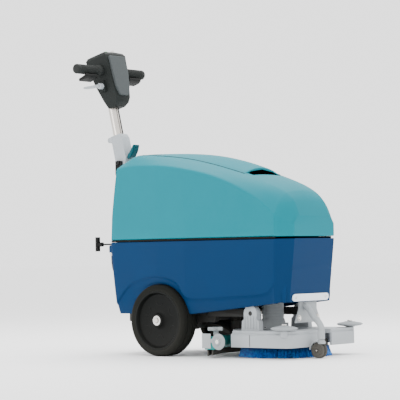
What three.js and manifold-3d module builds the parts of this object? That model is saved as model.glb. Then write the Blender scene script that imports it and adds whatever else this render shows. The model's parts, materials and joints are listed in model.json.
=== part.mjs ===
// A walk-behind floor scrubber-dryer: two stacked tanks on a wheeled steel frame, a lifting brush deck,
// a curved squeegee behind it and a steering handle. Millimetres, +X forward, +Y left, +Z up.
// Everything is laid out from the middle of the rear axle's track on the floor; the finished group is
// then moved so that its origin is the bottom centre of the whole machine.
import * as THREE from 'three';
import { mergeVertices } from 'three/addons/utils/BufferGeometryUtils.js';
import Module from 'manifold-3d';

const wasm = await Module();
wasm.setup();

// Driving dimensions
const GAP = 0.3; // running or seating gap between touching pieces
const ORIGIN_X = 71.33; // the machine's middle, ahead of the rear axle

const WHEEL_R = 125;
const WHEEL_OUT = 222; // outer face of each rear wheel
const WHEEL_WIDTH = 76;
const RIM_R = 104;
const AXLE_R = 10;

const SEAM_Z = 402; // top of the lower tank
const SEAM_GAP = 7.5;
const TANK_REAR = -234;
const TANK_FRONT = 529;
const FRONT_FOOT = 503; // the leaning front face's lower edge
const ARCH = { x: -6, z: 122, r: 134, inner: 140 };

const BRUSH = { x: 394, r: 164, free: 34 };
const MOTOR_X = 344;
const DECK = {
  rear: 311, front: 558, half: 193, backR: 183, corner: 18, skirtZ: 37, lipZ: 81, topZ: 92, wall: 8,
};
const LUG = { x: 362, z: 150, r: 28, inner: 128, outer: 150, pin: 8 };
const LIFT_PIVOT = { x: 170, z: 150, r: 8 };
const BUMPER = { x: 535, y: 188, z: 103, r: 46, thick: 18, bore: 5 };

const CASTER = { x: 602, y: -73, trail: 9, r: 26, width: 14, top: 63 };

const SQUEEGEE = { end: 240, endX: 256, midX: 180, thick: 38, low: 30, high: 70, lip: 8 };
const SQUEEGEE_PIVOT = { x: 70, z: 105, r: 6 };
const SUCTION_PORT_R = 16;
const SIDE_ROLLER = { x: 305, y: 253, z: 58, r: 28, thick: 16 };

const HANDLE = { x: -347, z: 700, lean: THREE.MathUtils.degToRad(13.2) };
const GRIP = { u: 16.7, w: 351.5, r: 18.5, from: 54, to: 183 };
const LEVER = { u: 14, w: 292, y: -54 };

const LID = { rear: -128, front: 308, thick: 16, ledge: 12 };
const POCKET = { half: 85, floor: 606, reach: 24, wall: 6 }; // finger room under the lid's front edge
const HOSE_PORT = { x: -246, z: 372, r: 17, right: -165, left: 59 };
const DRAIN_HOSE_R = 14;
const DRAIN_BEND_Z = 345; // the drain hose drops straight to here, then turns in a half circle
const START_BUTTON = { u: 30, y: -20, r: 9 };

const COLOURS = {
  teal: [0x14a3b1, 0.4, 0],
  blue: [0x21608c, 0.45, 0],
  castGrey: [0xb2b7ba, 0.5, 0.1],
  deckGrey: [0xb6babd, 0.5, 0.05],
  white: [0xe3eaf2, 0.35, 0],
  black: [0x1c1d1d, 0.7, 0],
  rubber: [0x2b2b29, 0.85, 0],
  tyre: [0x3c3f38, 0.85, 0],
  rim: [0x181d19, 0.5, 0],
  frame: [0x1b1c1d, 0.5, 0.3],
  steel: [0xc5beb6, 0.35, 0.9],
  charcoal: [0x2f3332, 0.6, 0],
  panelGrey: [0x6b6f70, 0.6, 0],
  brush: [0x17588c, 0.8, 0],
  darkTeal: [0x10454c, 0.5, 0],
  aqua: [0x3f9c9a, 0.4, 0],
  battery: [0x2a2d33, 0.6, 0],
  green: [0x2f9b4e, 0.4, 0],
};

// Geometry helpers
function solid(geometry) {
  const bare = geometry.clone();
  bare.deleteAttribute('normal');
  bare.deleteAttribute('uv');
  const merged = mergeVertices(bare, 1e-4);
  return new wasm.Manifold(new wasm.Mesh({
    numProp: 3,
    vertProperties: new Float32Array(merged.attributes.position.array),
    triVerts: new Uint32Array(merged.index.array),
  }));
}

function geometryOf(manifold) {
  const mesh = manifold.getMesh();
  const geometry = new THREE.BufferGeometry();
  geometry.setAttribute('position', new THREE.BufferAttribute(new Float32Array(mesh.vertProperties), 3));
  geometry.setIndex(new THREE.BufferAttribute(new Uint32Array(mesh.triVerts), 1));
  geometry.computeVertexNormals();
  return geometry;
}

const join = (...parts) => geometryOf(parts.map(solid).reduce((a, b) => a.add(b)));
const cut = (body, ...tools) => geometryOf(tools.map(solid).reduce((a, b) => a.subtract(b), solid(body)));
const overlap = (...parts) => geometryOf(parts.map(solid).reduce((a, b) => a.intersect(b)));

function block([x0, x1], [y0, y1], [z0, z1]) {
  const geometry = new THREE.BoxGeometry(x1 - x0, y1 - y0, z1 - z0);
  return geometry.translate((x0 + x1) / 2, (y0 + y1) / 2, (z0 + z1) / 2);
}

// A round bar along axis 'x', 'y' or 'z', with a flat facet facing down
function bar(axis, r, from, to, centre, sides = 24, endR = r) {
  const geometry = new THREE.CylinderGeometry(endR, r, to - from, sides, 1, false, Math.PI / sides);
  geometry.translate(0, (from + to) / 2, 0);
  if (axis === 'z') geometry.rotateX(Math.PI / 2);
  if (axis === 'x') geometry.rotateZ(-Math.PI / 2);
  return geometry.translate(...centre);
}

// The corner radius of a polygon whose flats are r from its middle
const acrossFlats = (r, sides) => r / Math.cos(Math.PI / sides);

// A profile of [radius, height] points turned about an axis
function turned(profile, axis, centre, sides = 32) {
  const points = profile.map(([r, h]) => new THREE.Vector2(r, h));
  const geometry = new THREE.LatheGeometry(points, sides, Math.PI / sides);
  if (axis === 'z') geometry.rotateX(Math.PI / 2);
  return geometry.translate(...centre);
}

function shapeOf(points) {
  return new THREE.Shape(points.map(([a, b]) => new THREE.Vector2(a, b)));
}

// A plan outline of [x, y] points raised from z0 to z1
function raised(points, z0, z1) {
  const geometry = new THREE.ExtrudeGeometry(shapeOf(points), { depth: z1 - z0, bevelEnabled: false });
  return geometry.translate(0, 0, z0);
}

// A side outline of [x, z] points made solid from y0 to y1
function side(points, y0, y1) {
  const shape = points instanceof THREE.Shape ? points : shapeOf(points);
  const settings = { depth: y1 - y0, bevelEnabled: false, curveSegments: 8 };
  const geometry = new THREE.ExtrudeGeometry(shape, settings);
  return geometry.rotateX(Math.PI / 2).translate(0, y1, 0);
}

// A round bar swept along a smooth path
function swept(points, { r, steps, sides }) {
  const path = new THREE.CatmullRomCurve3(points.map((p) => new THREE.Vector3(...p)));
  const circle = shapeOf(arc(0, 0, r, 0, 360 - 360 / sides, sides - 1));
  return new THREE.ExtrudeGeometry(circle, { steps, extrudePath: path });
}

// A closed skin through equal rings of [x, y, z] points, each ring a convex loop
function loft(rings) {
  const count = rings[0].length;
  const index = [];
  for (let i = 0; i + 1 < rings.length; i++) {
    for (let j = 0; j < count; j++) {
      const a = i * count + j;
      const b = i * count + ((j + 1) % count);
      index.push(a, b, b + count, a, b + count, a + count);
    }
  }
  const last = (rings.length - 1) * count;
  for (let j = 1; j + 1 < count; j++) {
    index.push(0, j + 1, j);
    index.push(last, last + j, last + j + 1);
  }
  const geometry = new THREE.BufferGeometry();
  geometry.setAttribute('position', new THREE.Float32BufferAttribute(rings.flat(2), 3));
  geometry.setIndex(index);
  return geometry;
}

// Straight-line reading of a table of [x, value] pairs
function along(table, x) {
  if (x <= table[0][0]) return table[0][1];
  for (let i = 1; i < table.length; i++) {
    const [x0, v0] = table[i - 1];
    const [x1, v1] = table[i];
    if (x <= x1) return v0 + ((v1 - v0) * (x - x0)) / (x1 - x0);
  }
  return table.at(-1)[1];
}

// A smooth curve through a few [x, value] pairs, as a longer table
function smooth(points) {
  const curve = new THREE.SplineCurve(points.map(([x, value]) => new THREE.Vector2(x, value)));
  return curve.getPoints(6 * points.length).map((p) => [p.x, p.y]);
}

function arc(cx, cy, r, from, to, steps) {
  return Array.from({ length: steps + 1 }, (_, i) => {
    const turn = THREE.MathUtils.degToRad(from + ((to - from) * i) / steps);
    return [cx + r * Math.cos(turn), cy + r * Math.sin(turn)];
  });
}

const machine = new THREE.Group();
const handle = new THREE.Group();
handle.position.set(HANDLE.x, 0, HANDLE.z);
handle.rotation.y = -HANDLE.lean;
machine.add(handle);

function part(name, geometry, colour, parent = machine) {
  const [color, roughness, metalness] = COLOURS[colour];
  const mesh = new THREE.Mesh(geometry, new THREE.MeshStandardMaterial({ color, roughness, metalness }));
  mesh.name = name;
  parent.add(mesh);
}

const SIDES = [['right', -1], ['left', 1]];

// Both tanks share this plan: half width against x, with a 45 degree chamfer at the front corners
const HALF_WIDTH = [[TANK_REAR, 207], [0, 212], [120, 206], [482, 160], [TANK_FRONT, 113]];
// The upper tank's top line and the crease where its flat sides end
const TOP_LINE = smooth([[-234, 713], [-100, 711], [100, 686], [300, 632], [440, 580], [505, 534],
  [TANK_FRONT, 478]]);
const CREASE_LINE = smooth([[-234, 664], [-120, 672], [60, 661], [250, 618], [408, 544], [482, 484],
  [TANK_FRONT, 456]]);
const LID_HALF = [[-234, 146], [-100, 133], [130, 121], [308, 103], [420, 98], [TANK_FRONT, 84]];
// How far the middle stands above the top line, on the tank and on the lid
const TANK_CROWN = [[-234, 3], [LID.rear, 8], [LID.front, 5], [480, 8], [TANK_FRONT, 1]];
const LID_CROWN = smooth([[LID.rear, 8], [26, 16], [210, 24], [LID.front, 24]]);
const STATIONS = [-234, -130, 0, 100, 170, 240, 308, 350, 400, 440, 482, 505, 521, TANK_FRONT];

// The upper tank's solid, or its hollow when inset by the wall's thickness
function upperBody(inset) {
  const floor = SEAM_Z + SEAM_GAP + inset;
  const rings = STATIONS.map((x) => {
    const at = Math.min(x, TANK_FRONT - inset);
    const half = along(HALF_WIDTH, at) - inset;
    const crease = along(CREASE_LINE, at) - inset;
    const top = along(TOP_LINE, at) - inset;
    const shoulder = along(LID_HALF, at);
    const middle = top + along(TANK_CROWN, at);
    return [[at, -half, floor], [at, half, floor], [at, half, crease], [at, shoulder, top], [at, 0, middle],
      [at, -shoulder, top], [at, -half, crease]];
  }).filter((ring, i, all) => i === 0 || ring[0][0] > all[i - 1][0][0] + 0.5);
  const rearSlope = [[-228 + inset, 300], [700, 300], [700, 760], [-152 + inset, 760], [-172 + inset, 705],
    [-195 + inset, 660], [-222 + inset, 500]];
  return overlap(loft(rings), side(rearSlope, -260, 260));
}

// The lid's plate between two heights below the top line
function lidPlate(rear, front, shrink, from, to) {
  const rings = [rear, ...STATIONS.filter((x) => x > rear + 5 && x < front - 5), front].map((x) => {
    const half = along(LID_HALF, x) - 3 - shrink;
    const top = along(TOP_LINE, x);
    const middle = top + along(LID_CROWN, x) - to;
    return [[x, -half, top - from], [x, half, top - from], [x, half, top - to], [x, 0, middle],
      [x, -half, top - to]];
  });
  return loft(rings);
}

function tanks() {
  const wall = 6;
  const { rear, front, thick, ledge } = LID;
  const seat = lidPlate(rear - 2.5, front + 1, -1.3, thick + 0.5, -20);
  const shelf = lidPlate(rear - ledge, front + ledge, -ledge, thick + wall, -1);
  const mouth = lidPlate(rear + ledge, front - ledge, ledge, thick + 2 * wall, -2);
  const { half, floor, reach, wall: skin } = POCKET;
  const pocket = block([front - 10, front + reach], [-half, half], [floor, 700]);
  const pocketBox = block([front - 10 - skin, front + reach + skin], [-half - skin, half + skin],
    [floor - skin, 720]);
  const hollow = cut(upperBody(wall), cut(shelf, mouth), pocketBox);
  const fingers = bar('y', 18, -half, half, [front, 0, floor], 24);
  part('upper_tank', cut(upperBody(0), hollow, seat, pocket), 'teal');
  part('lid', cut(lidPlate(rear, front, 0, thick, 0), fingers), 'teal');

  const outer = [[-216, 190], [0, 200], [110, 196], [440, 156]];
  const edge = [...outer, ...outer.toReversed().map(([x, y]) => [x, -y])];
  const inside = edge.map(([x, y]) => [112 + (x - 112) * 0.92, y * 0.86]);
  const pad = raised(edge, SEAM_Z + GAP, SEAM_Z + SEAM_GAP - GAP);
  const seal = cut(pad, raised(inside, SEAM_Z - 5, SEAM_Z + 20));
  part('tank_seal', seal, 'black');
  lowerTank();
}

function lowerTank() {
  const bottom = [[-200, 147], [124, 147], [341, 170], [427, 180], [FRONT_FOOT, 187]];
  const profile = [...bottom, [TANK_FRONT, SEAM_Z], [-228, SEAM_Z], [-223, 268], [-209, 196]];
  const undercut = 12;
  const rings = [TANK_REAR, 0, 120, 482, TANK_FRONT].map((x) => {
    const half = along(HALF_WIDTH, x);
    return [[x, -half + undercut, 140], [x, half - undercut, 140], [x, half, 209], [x, half, SEAM_Z + 1],
      [x, -half, SEAM_Z + 1], [x, -half, 209]];
  });
  const body = overlap(loft(rings), side(profile, -260, 260));
  const innerRing = (x) => {
    const half = along(HALF_WIDTH, x) - 7;
    return [[x, -half, 268], [x, half, 268], [x, half, SEAM_Z + 5], [x, -half, SEAM_Z + 5]];
  };
  const rearBay = loft([-216, 0, 120, 145].map(innerRing));
  const motorBay = loft([155, 275].map(innerRing));
  const frontTank = loft([283, 482, 508].map(innerRing));
  const batteryWell = block([-185, 145], [-130, 130], [163, 300]);
  const underside = block([152, 497], [-152, 152], [100, 258]);
  const arches = SIDES.map(([, s]) => bar('y', ARCH.r, s > 0 ? ARCH.inner : -260, s > 0 ? 260 : -ARCH.inner,
    [ARCH.x, 0, ARCH.z], 48));
  const ports = [HOSE_PORT.right, HOSE_PORT.left].flatMap((y) => {
    const { x, z, r } = HOSE_PORT;
    const neck = block([x, TANK_REAR + 10], [y - r + 1, y + r - 1], [z + 1, z + 19]);
    return [bar('z', r, z, z + 20, [x, y, 0], 16), neck];
  });
  const hollows = [rearBay, motorBay, frontTank, batteryWell, underside];
  part('lower_tank', cut(join(body, ...ports), ...hollows, ...arches), 'blue');
  for (const [name, s] of SIDES) {
    const middle = s * 64;
    part(`battery_${name}`, block([-178, 138], [middle - 61, middle + 61], [163 + GAP, 370]), 'battery');
  }
  const motor = [[0, 0], [52, 0], [52, 60], [38, 66], [38, 108], [0, 108]];
  part('suction_motor', turned(motor, 'z', [215, 0, 268 + GAP], 24), 'black');
  const lean = Math.atan2(TANK_FRONT - FRONT_FOOT, SEAM_Z - 187);
  const strip = raised([...arc(0, 90, 12.5, 0, 180, 8), ...arc(0, -90, 12.5, 180, 360, 8)], 0, 4);
  strip.rotateY(Math.PI / 2).rotateY(lean);
  strip.translate(FRONT_FOOT + GAP + Math.tan(lean) * 15, 0, 202);
  part('front_strip', strip, 'white');
}

function chassis() {
  const pivot = SQUEEGEE_PIVOT;
  const hanger = [[pivot.x - 26, 116], [pivot.x - 10, pivot.z - 14], [pivot.x + 10, pivot.z - 14],
    [pivot.x + 26, 116]];
  const outline = [[-232, 116], ...hanger, [168, 116], [203, 196], [489, 196], [489, 222], [182, 222],
    [155, 166], [155, 145], [-213, 145], [-213, 180], [-232, 180]];
  const axle = bar('y', AXLE_R, -240, 240, [0, 0, WHEEL_R]);
  const liftPin = bar('y', LIFT_PIVOT.r + GAP, -200, 200, [LIFT_PIVOT.x, 0, LIFT_PIVOT.z], 16);
  const squeegeePin = bar('y', pivot.r + GAP, -200, 200, [pivot.x, 0, pivot.z], 16);
  for (const [name, s] of SIDES) {
    const near = s > 0 ? 84 : -106;
    part(`frame_rail_${name}`, cut(side(outline, near, near + 22), axle, liftPin, squeegeePin), 'frame');
    const [inner, outer] = s > 0 ? [WHEEL_OUT - 3, WHEEL_OUT + 4] : [-WHEEL_OUT - 4, -WHEEL_OUT + 3];
    part(`wheel_bolt_${name}`, bar('y', 9, inner, outer, [0, 0, WHEEL_R], 12), 'steel');
  }
  const axleEnd = WHEEL_OUT - 3 - GAP;
  part('rear_axle', bar('y', AXLE_R - GAP, -axleEnd, axleEnd, [0, 0, WHEEL_R]), 'steel');
  const foot = block([-282, -214], [-84 + GAP, 84 - GAP], [153, 180]);
  const post = side([[-262, 160], [-262, 330], [-336, 664], [-358, 664], [-284, 330], [-284, 160]], -24, 24);
  const ears = SIDES.map(([, s]) => block([-362, -332], s > 0 ? [21.5, 30] : [-30, -21.5], [655, 706]));
  const yoke = block([-360, -334], [-30, 30], [652, 666]);
  const pin = bar('y', 8, -34, 34, [HANDLE.x, 0, HANDLE.z], 16);
  part('handle_post', join(foot, post, yoke, ...ears, pin), 'frame');
}

function casterBracket() {
  const plate = [[-49, 226], [49, 226], [49, 162], [72, 116], [-72, 116], [-49, 162]];
  const plateSolid = raised(plate.map(([y, z]) => [-z, y]), 0, 6);
  plateSolid.rotateY(Math.PI / 2).translate(490, 0, 0);
  const arm = swept([[492, -20, 174], [512, -26, 168], [548, -44, 140], [590, -68, 118],
    [CASTER.x, CASTER.y, 104], [CASTER.x, CASTER.y, 78]], { r: 11, steps: 18, sides: 12 });
  const socket = bar('z', 12.5, CASTER.top + GAP, 92, [CASTER.x, CASTER.y, 0], 20);
  part('caster_bracket', join(plateSolid, arm, socket), 'castGrey');
}

function caster() {
  const { x, y, trail, r, width, top } = CASTER;
  const hub = [x - trail, y, r];
  const hood = cut(
    bar('y', r + 4, -width - 3, width + 3, hub, 28),
    block([x - 60, x + 60], [y - 30, y + 30], [-10, r - 2]),
    bar('y', r + 1.5, -width - 0.5, -1.5, hub, 28),
    bar('y', r + 1.5, 1.5, width + 0.5, hub, 28),
    bar('y', 3.3, -30, 30, hub, 12),
  );
  const stem = bar('z', 9, r + 20, top, [x, y, 0], 20);
  part('caster_fork', cut(join(hood, stem), bar('y', r + 1.5, -width - 0.5, -1.5, hub, 28),
    bar('y', r + 1.5, 1.5, width + 0.5, hub, 28)), 'castGrey');
  part('caster_axle', bar('y', 3, -width - 3, width + 3, hub, 12), 'steel');
  for (const [name, s] of SIDES) {
    const wheel = bar('y', acrossFlats(r, 24), s > 0 ? 2 : -width, s > 0 ? width : -2, hub, 24);
    part(`caster_wheel_${name}`, cut(wheel, bar('y', 3.3, -30, 30, hub, 12)), 'rubber');
  }
}

function wheels() {
  const half = WHEEL_WIDTH / 2;
  const sides = 48;
  const tyreR = acrossFlats(WHEEL_R, sides);
  const tread = [[RIM_R, -half + 4], [112, -half], [tyreR, -half + 12], [tyreR, half - 12], [112, half],
    [RIM_R, half - 4], [RIM_R, -half + 4]];
  const dish = [[AXLE_R + GAP, -30], [34, -30], [40, -12], [86, -12], [94, -32], [RIM_R - GAP, -32],
    [RIM_R - GAP, 32], [94, 32], [86, 12], [44, 12], [30, half - 4], [AXLE_R + GAP, half - 4],
    [AXLE_R + GAP, -30]];
  for (const [name, s] of SIDES) {
    const middle = [0, s * (WHEEL_OUT - half), WHEEL_R];
    part(`tyre_${name}`, turned(tread, 'y', middle, sides), 'tyre');
    const outward = dish.map(([r, h]) => [r, s * h]);
    part(`rim_${name}`, turned(s > 0 ? outward : outward.toReversed(), 'y', middle, 32), 'rim');
  }
}

// The deck's plan: square shoulders ahead, and a round back that follows the brush
function deckOutline(inset) {
  const half = DECK.half - inset;
  const back = DECK.backR - inset;
  const turn = THREE.MathUtils.radToDeg(Math.acos((BRUSH.x - DECK.rear) / DECK.backR));
  const corner = DECK.corner - inset;
  return [[DECK.rear + inset, -half], ...arc(DECK.front - inset - corner, -half + corner, corner, -90, 0, 5),
    ...arc(DECK.front - inset - corner, half - corner, corner, 0, 90, 5), [DECK.rear + inset, half],
    ...arc(BRUSH.x, 0, back, 180 - turn, 180 + turn, 12)];
}

function deck() {
  const skirt = raised(deckOutline(0), DECK.skirtZ, DECK.lipZ);
  const shell = join(skirt, raised(deckOutline(4), DECK.lipZ - 1, DECK.topZ));
  const notch = [
    block([484, 600], [-20, 47], [0, 200]),
    block([484, 518], [-78, 78], [DECK.lipZ - 8, 200]),
  ];
  const lugs = SIDES.map(([, s]) => {
    const outline = new THREE.Shape();
    outline.moveTo(LUG.x - 39, DECK.topZ - 4);
    outline.lineTo(LUG.x + 39, DECK.topZ - 4);
    outline.lineTo(LUG.x + 36, 124);
    outline.lineTo(LUG.x + LUG.r, 130);
    outline.absarc(LUG.x, LUG.z, LUG.r, 0, Math.PI, false);
    outline.lineTo(LUG.x - LUG.r, 130);
    outline.lineTo(LUG.x - 36, 124);
    outline.closePath();
    return cut(side(outline, s > 0 ? LUG.inner : -LUG.outer, s > 0 ? LUG.outer : -LUG.inner),
      bar('y', LUG.pin + GAP, -200, 200, [LUG.x, 0, LUG.z], 16));
  });
  const hollow = raised(deckOutline(DECK.wall), DECK.skirtZ - 5, DECK.lipZ - 3);
  const ears = SIDES.map(([, s]) => bar('z', 14, DECK.lipZ - 8, BUMPER.z - BUMPER.thick / 2 - 1,
    [BUMPER.x, s * BUMPER.y, 0], 16));
  const pinHoles = SIDES.map(([, s]) => bar('z', BUMPER.bore, 60, 200, [BUMPER.x, s * BUMPER.y, 0], 12));
  const body = cut(join(cut(shell, hollow), ...lugs, ...ears), ...notch, ...pinHoles,
    bar('z', 26, 20, 200, [MOTOR_X, 0, 0], 24));
  part('brush_deck', body, 'deckGrey');
  const flange = DECK.topZ + GAP;
  const housing = [[0, 64], [25, 64], [25, flange], [48, flange], [44, 112], [40, 126], [38, 128], [38, 196],
    [32, 202], [0, 202]];
  part('gear_motor', turned(housing, 'z', [MOTOR_X, 0, 0], 32), 'castGrey');
  for (const [name, s] of SIDES) {
    const { x, y, z, r, thick, bore } = BUMPER;
    const low = z - thick / 2;
    const high = z + thick / 2;
    const pinR = bore - GAP;
    const pin = [[0, 66], [pinR, 66], [pinR, high + 1], [9, high + 1], [9, high + 5], [0, high + 5]];
    part(`bumper_pin_${name}`, turned(pin, 'z', [x, s * y, 0], 12), 'steel');
    const lens = [[bore, low], [18, low], [r - 6, z - 4], [r, z], [r - 6, z + 4], [18, high], [bore, high],
      [bore, low]];
    part(`bumper_roller_${name}`, turned(lens, 'z', [x, s * y, 0], 32), 'castGrey');
  }
}

function liftYoke() {
  const { x, z, r } = LIFT_PIVOT;
  for (const [name, s] of SIDES) {
    const outline = [[x - 14, 141], [x - 8, 137], [LUG.x + 4, 137], [LUG.x + 15, 144], [LUG.x + 15, 156],
      [LUG.x + 6, 164], [x - 8, 164], [x - 14, 159]];
    const arm = side(outline, s > 0 ? 111 : -126, s > 0 ? 126 : -111);
    const pinY = s > 0 ? [120, LUG.outer + 1] : [-LUG.outer - 1, -120];
    const lugPin = bar('y', LUG.pin, ...pinY, [LUG.x, 0, LUG.z], 16);
    const pivotPin = bar('y', r, s > 0 ? 86 : -115, s > 0 ? 115 : -86, [x, 0, z], 16);
    part(`lift_arm_${name}`, join(arm, lugPin, pivotPin), 'frame');
  }
  part('lift_crossbar', bar('y', 8, -111 + GAP, 111 - GAP, [256, 0, LIFT_PIVOT.z], 16), 'steel');
}

function brush() {
  const { x, r, free } = BRUSH;
  const back = [[0, free + GAP], [148, free + GAP], [148, 58], [60, 60], [0, 60]];
  part('brush_block', turned(back, 'z', [x, 0, 0], 40), 'black');
  const ring = [[60, 0], [r, 0], [r - 14, free], [66, free], [60, 0]];
  part('brush_bristles', turned(ring, 'z', [x, 0, 0], 40), 'brush');
}

// A curved rail behind the brush, as a plan outline between two offsets from its centre line
function squeegeeBow(back, front, end = SQUEEGEE.end) {
  const sag = SQUEEGEE.endX - SQUEEGEE.midX;
  const r = (SQUEEGEE.end ** 2 + sag ** 2) / (2 * sag);
  const cx = SQUEEGEE.midX + r;
  const reach = THREE.MathUtils.radToDeg(Math.asin(end / r));
  return [...arc(cx, 0, r + back, 180 - reach, 180 + reach, 14),
    ...arc(cx, 0, r - front, 180 + reach, 180 - reach, 14)];
}

function squeegee() {
  const { thick, low, high, lip, midX } = SQUEEGEE;
  const half = thick / 2;
  const body = cut(overlap(raised(squeegeeBow(half, half, SQUEEGEE.end + 6), low, high),
    block([0, 400], [-SQUEEGEE.end, SQUEEGEE.end], [0, 100])),
  raised(squeegeeBow(half - 9, half - 9, 232), low - 5, 52),
  bar('z', SUCTION_PORT_R, low, 100, [midX, 0, 0], 20));
  part('squeegee_body', body, 'aqua');
  part('squeegee_blade_rear', raised(squeegeeBow(half - 9.3, -half + 13.3, 231), lip, 50), 'rubber');
  part('squeegee_blade_front', raised(squeegeeBow(-half + 13.3, half - 9.3, 231), lip + 2, 50), 'rubber');
  const { x: pivotX, z: pivotZ, r: pinR } = SQUEEGEE_PIVOT;
  const sleeve = bar('y', 12, -84 + GAP, 84 - GAP, [pivotX, 0, pivotZ], 16);
  const pin = bar('y', pinR, -110, 110, [pivotX, 0, pivotZ], 16);
  const arm = side([[60, 96], [140, 90], [midX + 10, high + GAP], [midX + 10, high + 12], [146, 104],
    [70, 115], [60, 112]], -50, 50);
  const mouth = bar('z', SUCTION_PORT_R + 4, high + GAP, 118, [midX, 0, 0], 20);
  const port = bar('z', SUCTION_PORT_R, 60, 130, [midX, 0, 0], 20);
  part('squeegee_carrier', cut(join(arm, sleeve, pin, mouth), port), 'black');
  for (const [name, s] of SIDES) {
    const knobX = 240;
    const knobY = s * 186;
    const star = Array.from({ length: 20 }, (_, i) => {
      const turn = (2 * Math.PI * i) / 20;
      const r = 24 + 5 * Math.cos(5 * turn);
      return [knobX + r * Math.cos(turn), knobY + r * Math.sin(turn)];
    });
    const stem = bar('z', 9, high + GAP, 93, [knobX, knobY, 0], 16);
    part(`star_knob_${name}`, join(raised(star, 92, 104), stem), 'castGrey');
    const { x, y, z, r, thick: wide } = SIDE_ROLLER;
    const plateY = s > 0 ? [SQUEEGEE.end + GAP, SQUEEGEE.end + 3] : [-SQUEEGEE.end - 3, -SQUEEGEE.end - GAP];
    const spindleY = s > 0 ? [plateY[0], y + wide / 2] : [-y - wide / 2, plateY[1]];
    const bracket = join(block([228, x + 10], plateY, [54, 66]), block([224, 262], plateY, [34, 84]),
      bar('y', 5, ...spindleY, [x, 0, z], 12));
    part(`squeegee_bracket_${name}`, bracket, 'castGrey');
    const dish = [[5.3, -wide / 2], [12, -wide / 2], [14, -wide / 2 + 5], [r - 4, -wide / 2 + 2], [r, 0],
      [r - 4, wide / 2 - 2], [14, wide / 2 - 5], [12, wide / 2], [5.3, wide / 2], [5.3, -wide / 2]];
    part(`side_roller_${name}`, turned(dish, 'y', [x, s * y, z], 28), 'castGrey');
  }
}

function hoses() {
  part('suction_hose', swept([[SQUEEGEE.midX, 0, 119], [SQUEEGEE.midX, 0, 145], [184, 0, 175], [196, 0, 205],
    [200, 0, 230], [200, 0, 257]], { r: 18, steps: 12, sides: 12 }), 'rubber');
  const { x, z, right, left } = HOSE_PORT;
  const bend = arc((right + left) / 2, DRAIN_BEND_Z, (left - right) / 2, 180, 360, 10);
  const ends = [[z - GAP, z - 14], [z - 14, z - GAP]];
  const line = [...ends[0].map((h) => [right, h]), ...bend, ...ends[1].map((h) => [left, h])];
  const loop = line.map(([y, h]) => [x, y, h]);
  part('drain_hose', swept(loop, { r: DRAIN_HOSE_R, steps: 28, sides: 12 }), 'rubber');
}

function pullKnob() {
  const y = -170;
  const rod = bar('x', 3, -310, -230, [0, y, 396], 12);
  const stem = bar('x', 8, -322, -300, [0, y, 396], 14);
  const grip = bar('z', 9, 371, 423, [-325, y, 0], 16);
  part('pull_knob', join(rod, stem, grip), 'black');
}

// The handle's pieces use its own frame: u forward, y left, w up along the tube
function handlePieces() {
  const bracket = side([[-20, -10], [24, -10], [34, 10], [34, 88], [26, 106], [-20, 106]], -21, 21);
  const boss = join(bar('y', 10, -21, 21, [-29, 0, 95], 16), block([-29, -15], [-21, 21], [85, 105]));
  const bore = bar('z', 18 + GAP, 20, 120, [0, 0, 0], 24);
  const pivot = bar('y', 8 + GAP, -30, 30, [0, 0, 0], 16);
  part('handle_bracket', cut(join(bracket, boss), bore, pivot), 'castGrey', handle);
  part('handle_tube', bar('z', 18, 20 + GAP, 214, [0, 0, 0], 24), 'steel', handle);
  part('control_rod', bar('z', 2.5, 107, 209, [24, 0, 0], 10), 'black', handle);
  const ring = (w, rear, front, half, nose) => [[rear, -half, w], [front, -half, w], [front + nose, 0, w],
    [front, half, w], [rear, half, w]];
  const shell = loft([ring(210, 2, 34, 28, 4), ring(222, 0, 52, 34, 5), ring(240, -6, 60, 38, 6),
    ring(300, -24, 62, 46, 6), ring(350, -34, 62, 52, 6), ring(404, -42, 60, 56, 6),
    ring(415, -36, 54, 50, 5)]);
  const leverBoss = block([LEVER.u - 12, LEVER.u + 12], [LEVER.y, -38], [LEVER.w - 20, LEVER.w + 20]);
  const button = START_BUTTON;
  const well = bar('z', button.r + GAP, 411, 430, [button.u, button.y, 0], 16);
  const socket = bar('z', 18 + GAP, 190, 214.6, [0, 0, 0], 24);
  part('head_shell', cut(join(shell, leverBoss), socket, well), 'charcoal', handle);
  const paddle = side([[LEVER.u, LEVER.w - 5], [-58, 303], [-64, 308], [-58, 311], [LEVER.u, LEVER.w + 6]],
    LEVER.y - 20, LEVER.y - 4);
  part('squeegee_lever', join(paddle, bar('y', 11, LEVER.y - 16, LEVER.y - GAP, [LEVER.u, 0, LEVER.w], 20)),
    'castGrey', handle);
  const lock = [[36, 4], [52, 8], [70, 26], [82, 47], [75, 50], [58, 34], [42, 22], [36, 16]];
  part('lock_lever', side(lock, -16, 16), 'darkTeal', handle);
  part('control_panel', cut(block([-30, 48], [-44, 44], [415 + GAP, 418]), well), 'panelGrey', handle);
  part('start_button', bar('z', button.r, 414.5, 424, [button.u, button.y, 0], 16), 'green', handle);
  const barrel = bar('z', 8, 418 + GAP, 421, [30, 20, 0], 16);
  part('key_switch', join(barrel, block([22, 38], [18, 22], [420, 432])), 'steel', handle);
  for (const [name, s] of SIDES) {
    const gripY = s > 0 ? [GRIP.from, GRIP.to] : [-GRIP.to, -GRIP.from];
    const triggerY = s > 0 ? [88, 152] : [-152, -88];
    const trigger = side([[-6, 322], [22, 326], [34, 330], [32, 320], [20, 314], [-8, 312]], ...triggerY);
    part(`grip_${name}`, bar('y', GRIP.r, ...gripY, [GRIP.u, 0, GRIP.w], 20), 'charcoal', handle);
    part(`trigger_${name}`, trigger, 'black', handle);
  }
}

tanks();
chassis();
casterBracket();
caster();
wheels();
deck();
liftYoke();
brush();
squeegee();
hoses();
pullKnob();
handlePieces();

machine.position.x = -ORIGIN_X;

export default machine;
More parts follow.
